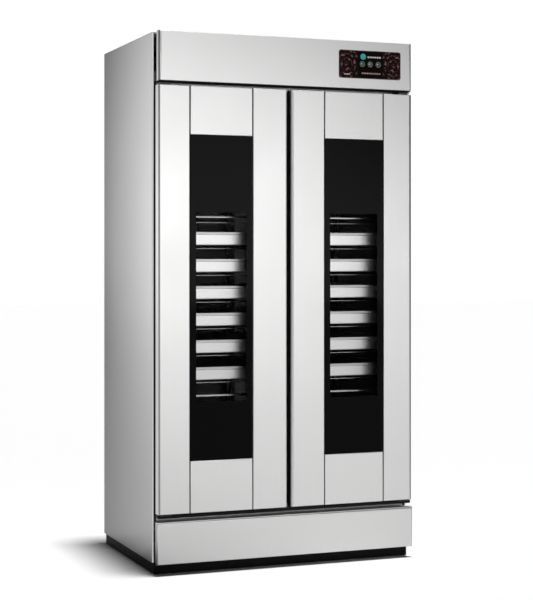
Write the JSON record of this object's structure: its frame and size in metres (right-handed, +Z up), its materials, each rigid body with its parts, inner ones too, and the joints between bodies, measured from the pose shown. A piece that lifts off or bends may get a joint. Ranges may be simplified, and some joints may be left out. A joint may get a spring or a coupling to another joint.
{
  "type": "proofing cabinet",
  "caption": "Tall stainless two-door proofing cabinet with glazed doors, tray racks, humid-air fan and heater, header controls and a black base.",
  "frame": {"origin": "on the floor under the middle of the cabinet", "axes": "+Z up, -Y towards someone facing the doors, +X to their right"},
  "size_m": [1, 0.7, 1.92],
  "materials": {
    "brushed_steel": "fine brushed stainless sheet",
    "liner_steel": "dull mill-finish stainless sheet",
    "black_steel": "satin black paint",
    "black_glass": "tinted toughened glass with a black printed border",
    "clear_glass": "clear toughened glass",
    "black_plastic": "matt black",
    "rubber": "matt black silicone",
    "tray_aluminium": "bright rolled aluminium",
    "foam": "rigid polyurethane foam",
    "grey_plastic": "moulded, matt",
    "heater_sheath": "heat-darkened steel sheath",
    "lamp": "frosted diffuser",
    "panel_print": "glossy black face plate with a soft rose swirl",
    "buttons": "satin ring round a dark cap"
  },
  "bodies": {
    "cabinet": {"base_frame": "black_steel", "front_frame": "liner_steel", "left_side_panel": "brushed_steel", "right_side_panel": "brushed_steel", "rear_panel": "brushed_steel", "top_panel": "brushed_steel", "header_panel": "brushed_steel", "plinth_panel": "brushed_steel", "insulation_tub": "foam", "inner_liner": "liner_steel", "fan_cover": "liner_steel", "water_pan": "liner_steel", "left_upper_hinge": "liner_steel", "left_lower_hinge": "liner_steel", "left_outer_rack": "liner_steel", "left_inner_rack": "liner_steel", "left_tray_1": "tray_aluminium", "left_tray_2": "tray_aluminium", "left_tray_3": "tray_aluminium", "left_tray_4": "tray_aluminium", "left_tray_5": "tray_aluminium", "left_tray_6": "tray_aluminium", "right_upper_hinge": "liner_steel", "right_lower_hinge": "liner_steel", "right_outer_rack": "liner_steel", "right_inner_rack": "liner_steel", "right_tray_1": "tray_aluminium", "right_tray_2": "tray_aluminium", "right_tray_3": "tray_aluminium", "right_tray_4": "tray_aluminium", "right_tray_5": "tray_aluminium", "right_tray_6": "tray_aluminium", "fan_motor": "grey_plastic", "control_box": "grey_plastic", "cable_gland": "grey_plastic", "air_heater": "heater_sheath", "interior_lamp": "lamp", "control_panel": "panel_print"},
    "left_door": {"left_hinge_stile": "brushed_steel", "left_pull_stile": "brushed_steel", "left_top_rail": "brushed_steel", "left_bottom_rail": "brushed_steel", "left_outer_glass": "black_glass", "left_glazing_spacer": "black_plastic", "left_inner_glass": "clear_glass", "left_inner_pan": "liner_steel", "left_gasket": "rubber"},
    "right_door": {"right_hinge_stile": "brushed_steel", "right_pull_stile": "brushed_steel", "right_top_rail": "brushed_steel", "right_bottom_rail": "brushed_steel", "right_outer_glass": "black_glass", "right_glazing_spacer": "black_plastic", "right_inner_glass": "clear_glass", "right_inner_pan": "liner_steel", "right_gasket": "rubber"},
    "power_button": {"power_button": "buttons"},
    "heat_button": {"heat_button": "buttons"},
    "steam_button": {"steam_button": "buttons"},
    "fan": {"fan_impeller": "tray_aluminium"}
  },
  "joints": [
    {"name": "left_door_hinge", "type": "hinge", "parent": "cabinet", "child": "left_door", "pos_m": [-0.4785, -0.33, 0.2165], "axis": [0, 0, -1], "range_deg": [0, 110]},
    {"name": "right_door_hinge", "type": "hinge", "parent": "cabinet", "child": "right_door", "pos_m": [0.4785, -0.33, 0.2165], "axis": [0, 0, 1], "range_deg": [0, 110]},
    {"name": "power_button_travel", "type": "slide", "parent": "cabinet", "child": "power_button", "axis": [0, 1, 0], "range_m": [0, 0.0015], "stiffness_N_per_m": 400},
    {"name": "heat_button_travel", "type": "slide", "parent": "cabinet", "child": "heat_button", "axis": [0, 1, 0], "range_m": [0, 0.0015], "stiffness_N_per_m": 400},
    {"name": "steam_button_travel", "type": "slide", "parent": "cabinet", "child": "steam_button", "axis": [0, 1, 0], "range_m": [0, 0.0015], "stiffness_N_per_m": 400},
    {"name": "fan_spin", "type": "hinge", "parent": "cabinet", "child": "fan", "pos_m": [0, 0.03, 1.64], "axis": [0, 0, 1], "continuous": true}
  ]
}
